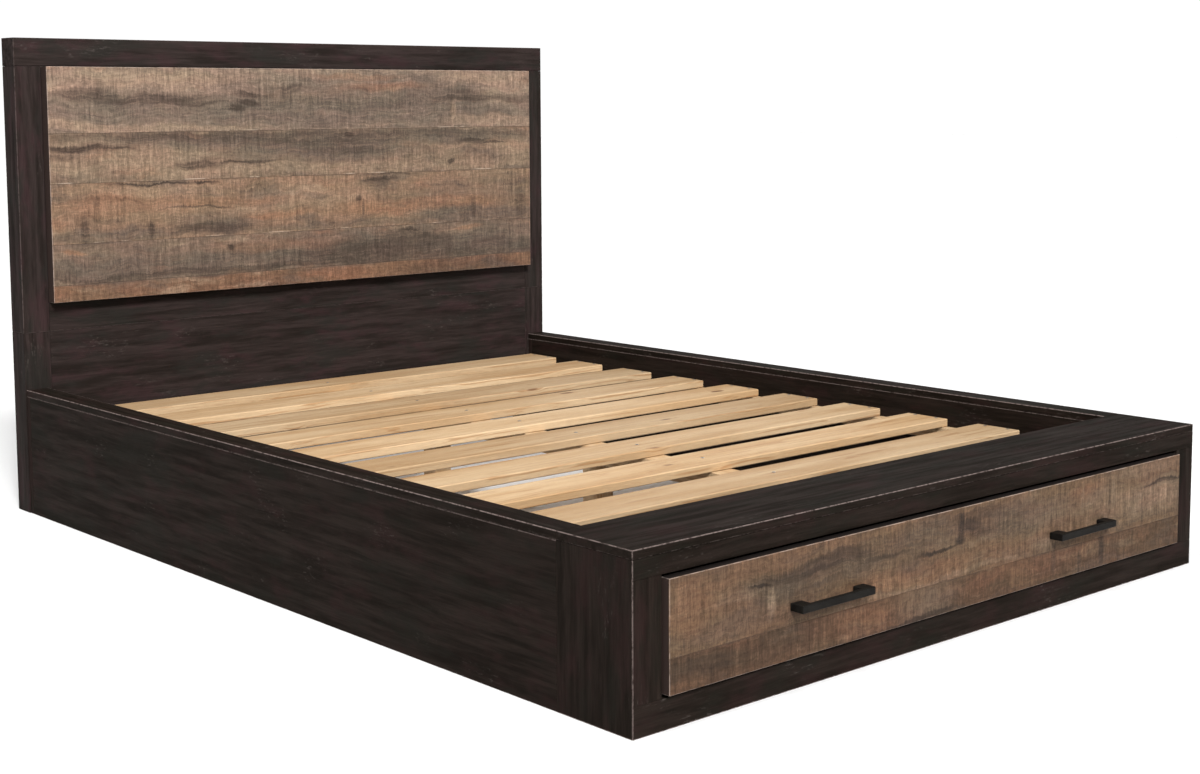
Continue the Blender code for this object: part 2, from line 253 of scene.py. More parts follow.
def edges_worn_and_highlit(finish, colour, place, low, high, wear_and_highlight, joint):
    """A broken pale line along a box's edges, and a fainter one just above a joint's height,
    each partly wear and partly painted highlight.
    """
    edge = finish.edge_distance(low, high)
    breaks = finish.noise(place, EDGE_BREAK, 3.0, 0.7)
    pale_edge_line = finish.product(finish.between(edge, EDGE_WIDTH, EDGE_WIDTH * 0.4),
                          finish.between(breaks, 0.34, 0.56, 0.15, 1.0), wear_and_highlight)
    colour = finish.mix(pale_edge_line, colour, EDGE_WEAR_AND_HIGHLIGHT)
    if joint is None:
        return colour
    above = finish.maths("SUBTRACT", finish.split(finish.place)[2], joint)
    line = finish.product(finish.between(above, EDGE_WIDTH * 1.2, 0.0),
                          finish.between(breaks, 0.42, 0.62, 0.0, 0.17))
    return finish.mix(line, colour, EDGE_WEAR_AND_HIGHLIGHT)


def ebony_laminate(name, grain, low, high, seed, wear_and_highlight, tone, joint=None):
    """A near-black wood print: streaks along the grain, faint red and grey patches, scuffs,
    and a pale line along a box's edges that is partly wear and partly painted highlight. The
    whole board's colour is multiplied by its tone, which paints light on the headboard's boards
    and shade on the base's."""
    finish = Finish(name)
    place = shifted(finish, seed)
    bend = finish.noise(place, grain_size(grain, *EBONY_BEND), 3.0)
    wavy = swayed(finish, place, grain, bend, EBONY_SWAY)
    streaks = finish.noise(wavy, grain_size(grain, *EBONY_STREAK), 5.0, 0.62)
    fibres = finish.noise(wavy, grain_size(grain, *EBONY_FIBRE), 3.0, 0.6)
    red = finish.noise(place, grain_size(grain, *EBONY_RED_PATCH), 4.0, 0.6)
    elsewhere = finish.vector("ADD", place, EBONY_GREY_SHIFT)
    grey = finish.noise(elsewhere, grain_size(grain, *EBONY_GREY_PATCH), 4.0, 0.6)

    colour = finish.mix(finish.between(streaks, 0.34, 0.66), EBONY, EBONY_LIGHT)
    colour = finish.mix(finish.between(red, 0.48, 0.68, 0.0, 0.58), colour, EBONY_RED)
    colour = finish.mix(finish.between(grey, 0.48, 0.66, 0.0, 0.70), colour, EBONY_GREY)
    colour = finish.dim(colour, finish.between(fibres, 0.30, 0.70, 0.86, 1.17))
    colour = finish.mix(1.0, colour, tone, "MULTIPLY")
    colour = scuffed(finish, colour, place, grain)
    colour = edges_worn_and_highlit(finish, colour, place, low, high, wear_and_highlight, joint)

    relief = finish.maths("ADD", finish.product(streaks, 0.6), finish.product(fibres, 0.4))
    roughness = finish.between(streaks, 0.3, 0.7, 0.70, 0.56)
    return finish.finish(colour, roughness, finish.bump(relief, EBONY_RELIEF), specular=0.02)


# The rough-sawn print's paints, over each plank's own tint.
SMOKE_AND_SEAM_SHADOW = (0.056, 0.039, 0.030, 1.0)
WEATHERED = (0.126, 0.097, 0.076, 1.0)
RUST = (0.285, 0.140, 0.080, 1.0)
PALE = (0.340, 0.235, 0.160, 1.0)
PAINTS = {"grey": WEATHERED, "rust": RUST, "pale": PALE, "smoke": SMOKE_AND_SEAM_SHADOW}
BARE_WOOD = (0.52, 0.42, 0.33, 1.0)
PRINT_EDGE_HIGHLIGHT = (0.40, 0.32, 0.28, 1.0)
GREENISH = (0.97, 1.005, 0.985, 1.0)
ROSY = (1.035, 0.990, 0.995, 1.0)
BANDING = (0.032, 0.021, 0.018, 1.0)
# The top narrow side's banding, darker as painted shade.
TOP_BANDING_PAINTED_SHADE = (0.012, 0.009, 0.008, 1.0)

# Patch sizes of its layers along x, y and z. None changes much through a panel's thickness.
THROUGH = 0.2
SAW_PITCH = 0.0052
SAW_CUT = (SAW_PITCH, THROUGH, 0.045)
SAW_CUT_FINE = (SAW_PITCH / 2.0, THROUGH, 0.012)
SAW_BAND = (0.009, THROUGH, 0.160)
SAWN_PATCH = (0.14, THROUGH, 0.06)
WAVE = (0.14, THROUGH, 0.10)
CLOUD = (0.20, THROUGH, 0.032)
HUE_PATCH = (0.17, THROUGH, 0.050)
CAST_PATCH = (0.16, THROUGH, 0.045)
FIBRE = (0.018, THROUGH, 0.0030)
GROWTH_LINE = (0.110, THROUGH, 0.0048)
MOTTLE = (0.020, THROUGH, 0.010)
CRACK = (0.007, THROUGH, 0.070)
LIP_BREAK = (0.110, THROUGH, 0.2)
PRINT_EDGE_BREAK = (0.03, 0.03, 0.03)

PLANK_STEP = (9.0, 13.0, 11.0)
WAVE_LIFT = 0.050
SAW_LIFT = 0.009
FIBRE_RELIEF = 0.0003
SAW_RELIEF = 0.0008
SPOT_CORE = 0.50
SPOT_RIM = 1.55
SEAM_WIDTH = 0.0030
SEAM_DROP = 0.0006
LIP_RISE = 0.0026
LIP_HALF = 0.0018
LIP_CORE = 0.0002
FACE_DEPTH = 0.0018
PRINT_EDGE_WIDTH = 0.0016
PRINT_EDGE_CORE = 0.0006

# Tints go from the lowest plank up, and chips, how chipped each seam's lip is, from the lowest
# seam up. Marks are spots of each paint. Shade scales the whole print's brightness, and weather
# how much its random patches cover.
PlankStyle = namedtuple("PlankStyle", "tints chips marks shade weather")


def spots(finish, place, marks):
    """1 inside a mark, 0 away from every mark. Each mark is its middle's x and z, half its
    length and height, and its strength."""
    total = None
    for x, z, half_length, half_height, strength in marks:
        offset = finish.vector("SUBTRACT", place, (x, 0.0, z))
        scaled = finish.vector("MULTIPLY", offset, (1.0 / half_length, 0.0, 1.0 / half_height))
        reach = finish.vector("LENGTH", scaled)
        inside = finish.between(reach, SPOT_RIM, SPOT_CORE, 0.0, strength)
        total = inside if total is None else finish.maths("MAXIMUM", total, inside)
    return total


def plank_rows(finish, z, low, high, seams, tints):
    """Each plank's own grey, which sets its figure apart from the next plank's, and its tint."""
    height = high.z - low.z
    rise = finish.maths("DIVIDE", finish.maths("SUBTRACT", z, low.z), height)
    starts = [0.0] + [(seam - low.z) / height for seam in seams]
    greys = [(index / len(starts),) * 3 + (1.0,) for index in range(len(starts))]
    plank = finish.steps(rise, list(zip(starts, greys)))
    tint = finish.steps(rise, list(zip(starts, tints)))
    return plank, tint


def weathered(finish, tint, place, wavy, cloud, weather):
    """A plank's tint under random weathered, rusty, pale and smoky patches, and fine cracks."""
    hue = finish.noise(wavy, HUE_PATCH, 5.0, 0.62)
    cracks = finish.noise(place, CRACK, 3.0, 0.6)
    colour = finish.mix(finish.between(hue, 0.50, 0.66, 0.0, 0.60 * weather), tint, WEATHERED)
    colour = finish.mix(finish.between(hue, 0.47, 0.32, 0.0, 0.35 * weather), colour, RUST)
    colour = finish.mix(finish.between(cloud, 0.48, 0.32, 0.0, 0.55 * weather), colour, PALE)
    colour = finish.mix(finish.between(cloud, 0.54, 0.68, 0.0, 0.40 * weather), colour, SMOKE_AND_SEAM_SHADOW)
    return finish.mix(finish.between(cracks, 0.66, 0.76, 0.0, 0.50), colour, SMOKE_AND_SEAM_SHADOW)


def saw_comb(finish, place):
    """Upright bands around 1, strong in some patches and faint in others."""
    bands = finish.noise(place, SAW_BAND, 3.0, 0.6)
    sawn = finish.noise(place, SAWN_PATCH, 3.0, 0.5)
    strength = finish.between(sawn, 0.36, 0.64, 0.20, 1.60)
    return finish.maths("ADD", finish.centred(bands, strength), 1.0)


def seam_lines(finish, colour, z, place, wave, seams, chips):
    """A soft painted shadow just under each seam, and over it a pale lip that is chipped in places."""
    lip_noise = finish.noise(place, LIP_BREAK, 5.0, 0.72)
    for seam, chipped in zip(seams, chips):
        over = finish.maths("SUBTRACT", z, seam)
        # Painted shadow under the seam, in the smoke's colour.
        from_line = finish.maths("ABSOLUTE", finish.maths("ADD", over, SEAM_DROP))
        shadow = finish.product(finish.between(from_line, SEAM_WIDTH, 0.0, 0.0, 0.60),
                                finish.between(wave, 0.40, 0.60, 0.20, 1.0))
        colour = finish.mix(shadow, colour, SMOKE_AND_SEAM_SHADOW)
        from_lip = finish.maths("ABSOLUTE", finish.maths("SUBTRACT", over, LIP_RISE))
        lip = finish.product(finish.between(from_lip, LIP_HALF, LIP_CORE),
                             finish.between(lip_noise, 0.50, 0.66, 0.0, chipped))
        colour = finish.mix(lip, colour, BARE_WOOD)
    return colour


def print_edges(finish, colour, place, low, high):
    """Dark banding on the panel's narrow sides, made darker on top as painted shade, and a painted
    highlight along its edges.
    """
    y, z = finish.split(finish.place)[1:]
    behind = finish.between(y, low.y + FACE_DEPTH, low.y + FACE_DEPTH * 1.5)
    # Painted shade on the top narrow side.
    painted_shade_on_top = finish.between(z, high.z - FACE_DEPTH, high.z - FACE_DEPTH * 0.5)
    colour = finish.mix(behind, colour, finish.mix(painted_shade_on_top, BANDING, TOP_BANDING_PAINTED_SHADE))
    # A painted highlight along the panel's edges, broken in places.
    edge = finish.edge_distance(low, high)
    breaks = finish.noise(place, PRINT_EDGE_BREAK, 3.0, 0.7)
    pale_edge_line = finish.product(finish.between(edge, PRINT_EDGE_WIDTH, PRINT_EDGE_CORE),
                          finish.between(breaks, 0.36, 0.56, 0.08, 0.42))
    return finish.mix(pale_edge_line, colour, PRINT_EDGE_HIGHLIGHT)


def rough_sawn_print(name, low, high, seams, style, seed):
    """Planks printed on a panel: their own tints, smoky streaks, knots, rust and grey patches,
    a saw's upright cuts, chipped seams with a painted shadow under each, dark banding on the
    panel's narrow sides with painted shade on top, and a painted highlight along its edges."""
    finish = Finish(name)
    x, y, z = finish.split(finish.place)
    plank, tint = plank_rows(finish, z, low, high, seams, style.tints)
    place = finish.vector("ADD", shifted(finish, seed), finish.vector("MULTIPLY", plank, PLANK_STEP))

    saw_coarse = finish.noise(place, SAW_CUT, 3.0, 0.7)
    saw_fine = finish.noise(place, SAW_CUT_FINE, 2.0, 0.6)
    wave = finish.noise(place, WAVE, 5.0, 0.62)
    lift = finish.maths("ADD", finish.centred(wave, WAVE_LIFT), finish.centred(saw_coarse, SAW_LIFT))
    wavy = finish.vector("ADD", place, finish.join(0.0, 0.0, lift))
    cloud = finish.noise(wavy, CLOUD, 6.0, 0.66)
    fibres = finish.noise(wavy, FIBRE, 4.0, 0.65)
    growth = finish.noise(wavy, GROWTH_LINE, 4.0, 0.65)
    mottle = finish.noise(wavy, MOTTLE, 5.0, 0.72)
    cast = finish.noise(wavy, CAST_PATCH, 3.0, 0.6)

    colour = weathered(finish, tint, place, wavy, cloud, style.weather)
    ragged = finish.product(finish.between(mottle, 0.36, 0.54, 0.75, 1.0),
                            finish.between(growth, 0.36, 0.56, 0.78, 1.12))
    lifted = finish.join(x, y, finish.maths("ADD", z, lift))
    for kind, paint in PAINTS.items():
        mask = finish.product(spots(finish, lifted, style.marks[kind]), ragged)
        colour = finish.mix(mask, colour, paint)

    colour = finish.dim(
        colour,
        finish.between(saw_coarse, 0.32, 0.68, 0.84 * style.shade, 1.16 * style.shade),
        finish.between(saw_fine, 0.30, 0.70, 0.84, 1.16),
        saw_comb(finish, place),
        finish.between(fibres, 0.30, 0.70, 0.84, 1.16),
        finish.between(growth, 0.32, 0.68, 1.12, 0.88),
        finish.between(mottle, 0.34, 0.66, 0.86, 1.14),
    )
    warmth = finish.mix(finish.between(cast, 0.36, 0.64), GREENISH, ROSY)
    colour = finish.mix(1.0, colour, warmth, "MULTIPLY")
    colour = seam_lines(finish, colour, z, place, wave, seams, style.chips)
    colour = print_edges(finish, colour, place, low, high)

    relief = finish.maths("ADD", finish.product(saw_coarse, 0.6), finish.product(saw_fine, 0.4))
    normal = finish.bump(fibres, FIBRE_RELIEF, finish.bump(relief, SAW_RELIEF))
    roughness = finish.between(cloud, 0.3, 0.7, 0.74, 0.60)
    return finish.finish(colour, roughness, normal, specular=0.10)


# Pine, with sizes along and across the grain. Tones differ from slat to slat, spread by a ratio
# that never repeats.
PINE = (0.37, 0.235, 0.120, 1.0)
PINE_PALE = (0.47, 0.335, 0.200, 1.0)
PINE_RING = (0.27, 0.135, 0.052, 1.0)
PINE_KNOT = (0.115, 0.048, 0.020, 1.0)
KNOT_CELL = (0.34, 0.12)
KNOT_SWIRL = 0.012
PINE_BEND = (0.50, 0.05)
PINE_SWAY = 0.05
PINE_RING_SIZE = (1.4, 0.0065)
PINE_PORE = (0.030, 0.0012)
PINE_BROAD = (0.60, 0.06)
PINE_RELIEF = 0.0004
PINE_TONE = 0.84
PINE_TONE_SPREAD = 0.28
GOLDEN = 0.618


def knotty_pine(name, grain, seed):
    """Planed pine: yearly rings drawn out along the board, and now and then a knot."""
    finish = Finish(name)
    place = shifted(finish, seed)
    knots = finish.cells(place, grain_size(grain, *KNOT_CELL))
    bend = finish.noise(place, grain_size(grain, *PINE_BEND), 2.0)
    aside = finish.maths("ADD", finish.between(knots, 0.20, 0.0, 0.0, KNOT_SWIRL),
                         finish.product(bend, PINE_SWAY))
    wavy = swayed(finish, place, grain, aside)
    rings = finish.noise(wavy, grain_size(grain, *PINE_RING_SIZE), 2.0, 0.5)
    pores = finish.noise(place, grain_size(grain, *PINE_PORE), 3.0, 0.7)
    broad = finish.noise(place, grain_size(grain, *PINE_BROAD), 2.0)

    tone = PINE_TONE + PINE_TONE_SPREAD * (seed * GOLDEN % 1.0)
    colour = finish.mix(finish.between(broad, 0.3, 0.7), PINE, PINE_PALE)
    colour = finish.mix(finish.between(rings, 0.52, 0.66, 0.0, 0.62), colour, PINE_RING)
    colour = finish.dim(colour, finish.between(pores, 0.3, 0.7, 0.86 * tone, 1.10 * tone))
    colour = finish.mix(finish.between(knots, 0.085, 0.050, 0.0, 0.88), colour, PINE_KNOT)
    normal = finish.bump(finish.maths("ADD", rings, pores), PINE_RELIEF)
    roughness = finish.between(rings, 0.4, 0.7, 0.62, 0.48)
    return finish.finish(colour, roughness, normal, specular=0.3)


CARCASS = (0.034, 0.025, 0.021, 1.0)
CARCASS_LIGHT = (0.072, 0.052, 0.042, 1.0)
CARCASS_FIGURE = (0.35, 0.016)
CARCASS_DASH = (0.012, 0.0010)
CARCASS_RELIEF = 0.0002


def drawer_board(name, grain, seed):
    """A dark foil with a quiet straight grain, as on the inside of a drawer."""
    finish = Finish(name)
    place = shifted(finish, seed)
    figure = finish.noise(place, grain_size(grain, *CARCASS_FIGURE), 5.0, 0.6)
    dashes = finish.noise(place, grain_size(grain, *CARCASS_DASH), 2.0, 0.6)
    colour = finish.mix(finish.between(figure, 0.34, 0.68), CARCASS, CARCASS_LIGHT)
    colour = finish.dim(colour, finish.between(dashes, 0.3, 0.7, 0.90, 1.08))
    normal = finish.bump(dashes, CARCASS_RELIEF)
    roughness = finish.between(figure, 0.3, 0.7, 0.50, 0.42)
    return finish.finish(colour, roughness, normal, specular=0.20)


IRON = (0.0060, 0.0052, 0.0046, 1.0)
IRON_DUSTY = (0.0110, 0.0100, 0.0088, 1.0)
IRON_PEBBLE = (0.0009, 0.0009, 0.0009)
IRON_DUST_PATCH = (0.03, 0.02, 0.02)
IRON_RELIEF = 0.00012


def black_iron(name):
    """Powder-coated iron: a fine pebbled skin, dustier and duller in some patches."""
    finish = Finish(name)
    pebbles = finish.noise(finish.place, IRON_PEBBLE, 2.0, 0.5)
    dust = finish.noise(finish.place, IRON_DUST_PATCH, 3.0, 0.6)
    colour = finish.mix(finish.between(dust, 0.35, 0.70), IRON, IRON_DUSTY)
    roughness = finish.between(dust, 0.3, 0.7, 0.40, 0.56)
    return finish.finish(colour, roughness, finish.bump(pebbles, IRON_RELIEF), specular=0.04)


ZINC = (0.55, 0.56, 0.57, 1.0)
ZINC_DULL = (0.34, 0.35, 0.36, 1.0)
ZINC_ROLLED = (0.20, 0.0006)
ZINC_CLOUD = (0.02, 0.02, 0.02)
ZINC_RELIEF = 0.00008


def zinc_steel(name, grain):
    """Rolled, zinc-plated steel: lines from the rollers and cloudy plating."""
    finish = Finish(name)
    rolled = finish.noise(finish.place, grain_size(grain, *ZINC_ROLLED), 2.0, 0.5)
    clouds = finish.noise(finish.place, ZINC_CLOUD, 3.0, 0.6)
    colour = finish.mix(finish.between(clouds, 0.35, 0.70), ZINC, ZINC_DULL)
    roughness = finish.between(clouds, 0.3, 0.7, 0.28, 0.46)
    return finish.finish(colour, roughness, finish.bump(rolled, ZINC_RELIEF), metallic=1.0)


# ---------------------------------------------------------------- finishes on the frame's nodes

def set_finish(node, material):
    slots = frame["nodes"][node].data.materials
    if slots:
        slots[0] = material
    else:
        slots.append(material)


def joint_box(nodes):
    """The box around several nodes, as its lowest and highest corners."""
    corners = [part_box(node) for node in nodes]
    low = Vector(min(box[0][axis] for box in corners) for axis in range(3))
    high = Vector(max(box[1][axis] for box in corners) for axis in range(3))
    return low, high


def long_axis(node):
    low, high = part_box(node)
    lengths = [high[axis] - low[axis] for axis in range(3)]
    return lengths.index(max(lengths))


# How deep a groove's points lie behind a panel's face, and the most that one groove is high.
GROOVE_LEAST = 0.0003
GROOVE_MOST = 0.0020
GROOVE_HEIGHT = 0.010


def seam_heights(node):
    """The heights of a plank panel's grooves, each the middle of a run of points that lie
    just behind the panel's front face, away from its own edges."""
    low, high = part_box(node)
    points = [vertex.co for vertex in frame["nodes"][node].data.vertices]
    runs = []
    for height in sorted(point.z for point in points
                         if GROOVE_LEAST < point.y - low.y < GROOVE_MOST
                         and low.z + GROOVE_HEIGHT < point.z < high.z - GROOVE_HEIGHT):
        if runs and height - runs[-1][-1] < GROOVE_HEIGHT:
            runs[-1].append(height)
        else:
            runs.append([height])
    return [(run[0] + run[-1]) / 2.0 for run in runs]


HEAD_BOARDS = ("headboard_top_rail", "headboard_left_stile", "headboard_right_stile",
               "headboard_bottom_rail")
UPRIGHT_BOARDS = ("foot_left_panel", "foot_right_panel")
FOOT_BOARDS = ("foot_front_top_rail", "foot_front_bottom_rail", "foot_front_left_stile",
               "foot_front_right_stile", "foot_top_panel", *UPRIGHT_BOARDS)
CAPS = ("left_rail_cap", "right_rail_cap", "foot_top_panel")

# Painted light and shade on one laminate: the headboard's boards are made lighter and the base's
# darker.
HEAD_PAINTED_LIGHT_TONE = (0.84, 0.86, 0.99, 1.0)
BASE_PAINTED_SHADE_TONE = (0.55, 0.55, 0.55, 1.0)
# How strongly each board shows the pale edge line of wear and painted highlight.
HEAD_EDGE_LINE = 0.12
FOOT_EDGE_LINE = 0.42
CAP_EDGE_LINE = 0.48
BOARD_EDGE_LINE = 0.25
NO_EDGE_LINE = 0.0
BEYOND = 5.0


def edge_line_box(name):
    """The box whose edges show the pale line of wear and painted highlight on a board, and how
    strongly. Edges that lie against a neighbour get no line, so the base's boxes run on past
    the ends of its rails."""
    low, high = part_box(name)
    if name in HEAD_BOARDS:
        return joint_box(HEAD_BOARDS), HEAD_EDGE_LINE
    if name.startswith("headboard"):
        return (low, high), NO_EDGE_LINE
    if name in FOOT_BOARDS:
        foot_low, foot_high = joint_box(FOOT_BOARDS)
        return (foot_low, Vector((foot_high.x, BEYOND, foot_high.z))), FOOT_EDGE_LINE
    wear_and_highlight = CAP_EDGE_LINE if name in CAPS else BOARD_EDGE_LINE
    bottom = -BEYOND if name in CAPS else low.z
    return (Vector((low.x, -BEYOND, bottom)), Vector((high.x, BEYOND, high.z))), wear_and_highlight


def finish_dark_boards(names):
    for seed, name in enumerate(names, 1):
        grain = UPRIGHT if name in UPRIGHT_BOARDS else long_axis(name)
        (low, high), wear_and_highlight = edge_line_box(name)
        # The tone paints light on the headboard and shade on the base.
        tone = HEAD_PAINTED_LIGHT_TONE if name.startswith("headboard") else BASE_PAINTED_SHADE_TONE
        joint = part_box(name)[0].z if name in CAPS else None
        set_finish(name, ebony_laminate(f"ebony_{name}", grain, low, high, seed, wear_and_highlight, tone, joint))


# The headboard panel's print. A mark is its middle's x and z, half its length and height, and
# its strength.
PANEL_TINTS = (
    (0.190, 0.106, 0.066, 1.0),
    (0.190, 0.128, 0.092, 1.0),
    (0.250, 0.160, 0.104, 1.0),
    (0.226, 0.154, 0.106, 1.0),
    (0.272, 0.190, 0.140, 1.0),
)
PANEL_MARKS = {
    "smoke": (
        (-0.66, 1.040, 0.10, 0.014, 0.60),
        (-0.48, 1.028, 0.16, 0.013, 0.65),
        (-0.38, 1.016, 0.12, 0.004, 0.70),
        (-0.240, 1.004, 0.028, 0.007, 0.80),
        (-0.200, 1.018, 0.035, 0.007, 0.75),
        (-0.19, 1.036, 0.05, 0.006, 0.65),
        (-0.07, 1.052, 0.04, 0.012, 0.45),
        (0.53, 1.044, 0.05, 0.006, 0.50),
        (0.56, 1.028, 0.14, 0.010, 0.65),
        (0.70, 1.030, 0.10, 0.012, 0.50),
        (-0.30, 0.933, 0.50, 0.012, 0.50),
        (0.02, 0.920, 0.22, 0.018, 0.50),
        (0.115, 0.927, 0.018, 0.008, 0.95),
        (0.11, 0.890, 0.12, 0.012, 0.45),
        (-0.70, 0.905, 0.09, 0.007, 0.85),
        (-0.60, 0.903, 0.06, 0.003, 0.75),
        (-0.36, 0.856, 0.06, 0.010, 0.80),
        (-0.20, 0.857, 0.10, 0.004, 0.80),
        (0.55, 0.905, 0.06, 0.006, 0.80),
        (0.60, 0.898, 0.08, 0.003, 0.70),
        (0.45, 0.928, 0.30, 0.010, 0.35),
        (0.47, 0.851, 0.014, 0.006, 0.90),
        (-0.48, 0.812, 0.12, 0.003, 0.90),
        (-0.34, 0.812, 0.04, 0.003, 0.85),
        (0.21, 0.800, 0.05, 0.008, 0.75),
        (0.27, 0.814, 0.08, 0.004, 0.65),
        (-0.31, 0.690, 0.11, 0.014, 0.65),
        (-0.68, 0.700, 0.010, 0.035, 0.60),
        (-0.495, 0.695, 0.009, 0.020, 0.80),
        (-0.35, 0.748, 0.09, 0.003, 0.65),
        (0.145, 0.745, 0.010, 0.008, 0.85),
        (0.16, 0.720, 0.004, 0.020, 0.65),
        (0.55, 0.705, 0.012, 0.030, 0.65),
        (0.73, 0.710, 0.020, 0.040, 0.45),
        (-0.265, 0.637, 0.010, 0.010, 0.85),
        (0.16, 0.602, 0.22, 0.028, 0.62),
        (0.33, 0.618, 0.12, 0.034, 0.55),
        (0.375, 0.640, 0.012, 0.012, 0.75),
        (0.385, 0.600, 0.006, 0.030, 0.75),
        (0.455, 0.600, 0.016, 0.035, 0.60),
        (0.32, 0.655, 0.03, 0.005, 0.85),
        (0.65, 0.600, 0.12, 0.016, 0.40),
        (-0.20, 0.578, 0.55, 0.008, 0.55),
        (0.40, 0.578, 0.40, 0.010, 0.50),
        (0.46, 0.543, 0.20, 0.024, 0.30),
        (0.14, 1.035, 0.26, 0.030, 0.22),
    ),
    "grey": (
        (-0.55, 0.995, 0.25, 0.030, 0.65),
        (0.00, 0.994, 0.45, 0.044, 0.80),
        (0.42, 1.010, 0.20, 0.056, 0.75),
        (0.65, 0.995, 0.14, 0.024, 0.45),
        (0.38, 1.060, 0.05, 0.040, 0.50),
        (-0.15, 1.060, 0.20, 0.030, 0.35),
        (0.10, 1.060, 0.15, 0.040, 0.45),
        (0.55, 0.755, 0.25, 0.045, 0.30),
        (0.05, 0.900, 0.30, 0.040, 0.80),
        (-0.20, 0.922, 0.40, 0.022, 0.70),
        (0.40, 0.920, 0.38, 0.022, 0.65),
        (0.60, 0.690, 0.24, 0.024, 0.75),
        (-0.60, 0.685, 0.20, 0.015, 0.65),
        (-0.30, 0.700, 0.13, 0.030, 0.55),
        (0.10, 0.680, 0.40, 0.010, 0.45),
        (-0.45, 0.598, 0.35, 0.028, 0.70),
        (0.10, 0.612, 0.25, 0.044, 0.70),
        (0.55, 0.604, 0.25, 0.034, 0.75),
        (0.70, 0.640, 0.10, 0.020, 0.40),
    ),
    "rust": (
        (0.24, 1.060, 0.12, 0.012, 0.45),
        (0.15, 1.088, 0.12, 0.010, 0.35),
        (-0.60, 0.765, 0.16, 0.030, 0.35),
        (0.22, 0.725, 0.20, 0.020, 0.50),
        (0.45, 0.730, 0.18, 0.016, 0.45),
        (-0.10, 0.720, 0.12, 0.010, 0.45),
        (-0.30, 0.760, 0.20, 0.012, 0.35),
        (-0.71, 0.647, 0.030, 0.006, 0.60),
        (0.53, 0.650, 0.05, 0.006, 0.45),
        (-0.10, 0.635, 0.20, 0.015, 0.30),
        (0.08, 0.545, 0.14, 0.018, 0.45),
    ),
    "pale": (
        (-0.50, 1.080, 0.25, 0.022, 0.50),
        (-0.68, 0.962, 0.12, 0.012, 0.60),
        (-0.40, 0.955, 0.25, 0.008, 0.45),
        (0.60, 0.965, 0.15, 0.016, 0.50),
        (0.48, 0.985, 0.010, 0.030, 0.60),
        (0.60, 1.085, 0.15, 0.015, 0.45),
        (-0.50, 0.870, 0.13, 0.030, 0.50),
        (0.71, 0.880, 0.06, 0.030, 0.60),
        (0.10, 0.840, 0.50, 0.014, 0.40),
        (-0.72, 0.860, 0.07, 0.020, 0.50),
        (0.02, 0.760, 0.15, 0.040, 0.30),
        (-0.45, 0.795, 0.20, 0.012, 0.35),
    ),
}

PANEL_CHIPS = (0.0, 0.36, 0.44, 0.32)
PANEL_STYLE = PlankStyle(PANEL_TINTS, PANEL_CHIPS, PANEL_MARKS, shade=0.57, weather=1.0)

# The drawer front's print.
DRAWER_TINTS = (
    (0.134, 0.077, 0.045, 1.0),
    (0.208, 0.124, 0.073, 1.0),
)
DRAWER_CHIPS = (0.06,)
DRAWER_MARKS = {
    "smoke": (
        (-0.42, 0.210, 0.13, 0.012, 0.62),
        (-0.33, 0.217, 0.07, 0.014, 0.60),
        (-0.23, 0.200, 0.06, 0.005, 0.60),
        (-0.55, 0.201, 0.03, 0.004, 0.85),
        (0.000, 0.220, 0.010, 0.026, 0.90),
        (-0.005, 0.192, 0.014, 0.010, 0.85),
        (-0.07, 0.184, 0.06, 0.004, 0.80),
        (0.03, 0.218, 0.030, 0.014, 0.80),
        (0.06, 0.200, 0.035, 0.010, 0.45),
        (0.08, 0.236, 0.10, 0.010, 0.40),
        (0.70, 0.206, 0.07, 0.005, 0.85),
        (0.30, 0.100, 0.007, 0.025, 0.60),
        (0.39, 0.088, 0.007, 0.020, 0.60),
        (0.47, 0.090, 0.009, 0.030, 0.85),
        (0.62, 0.150, 0.006, 0.028, 0.35),
        (-0.11, 0.066, 0.10, 0.005, 0.75),
        (-0.66, 0.100, 0.16, 0.020, 0.30),
        (-0.42, 0.145, 0.10, 0.010, 0.35),
        (-0.48, 0.100, 0.12, 0.030, 0.25),
        (0.29, 0.100, 0.09, 0.030, 0.12),
    ),
    "grey": (
        (-0.40, 0.195, 0.20, 0.024, 0.50),
        (0.20, 0.205, 0.14, 0.030, 0.50),
        (-0.10, 0.215, 0.12, 0.026, 0.45),
        (-0.64, 0.150, 0.10, 0.020, 0.35),
    ),
    "rust": (
        (-0.72, 0.200, 0.05, 0.040, 0.45),
        (0.42, 0.228, 0.06, 0.012, 0.45),
        (-0.28, 0.090, 0.14, 0.024, 0.45),
        (0.20, 0.105, 0.25, 0.014, 0.35),
        (-0.15, 0.150, 0.20, 0.016, 0.35),
    ),
    "pale": (
        (-0.525, 0.172, 0.010, 0.026, 0.60),
        (0.51, 0.200, 0.010, 0.036, 0.55),
        (0.40, 0.205, 0.006, 0.030, 0.40),
        (0.66, 0.178, 0.12, 0.036, 0.60),
        (0.48, 0.185, 0.10, 0.040, 0.35),
        (0.62, 0.240, 0.14, 0.012, 0.40),
        (-0.10, 0.128, 0.30, 0.005, 0.35),
        (-0.10, 0.100, 0.09, 0.030, 0.26),
        (0.29, 0.185, 0.09, 0.045, 0.24),
    ),
}
# The drawer's shade is lower than the panel's: partly its own darker print, and partly painted shade
# for the weaker light on the drawer front.
DRAWER_STYLE = PlankStyle(DRAWER_TINTS, DRAWER_CHIPS, DRAWER_MARKS, shade=0.44, weather=0.6)
PLANK_FACES = {"headboard_plank_panel": PANEL_STYLE, "drawer_front": DRAWER_STYLE}


def finish_plank_faces():
    for seed, (name, style) in enumerate(PLANK_FACES.items(), 1):
        low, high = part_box(name)
        material = rough_sawn_print(f"plank_{name}", low, high, seam_heights(name), style, seed)
        set_finish(name, material)


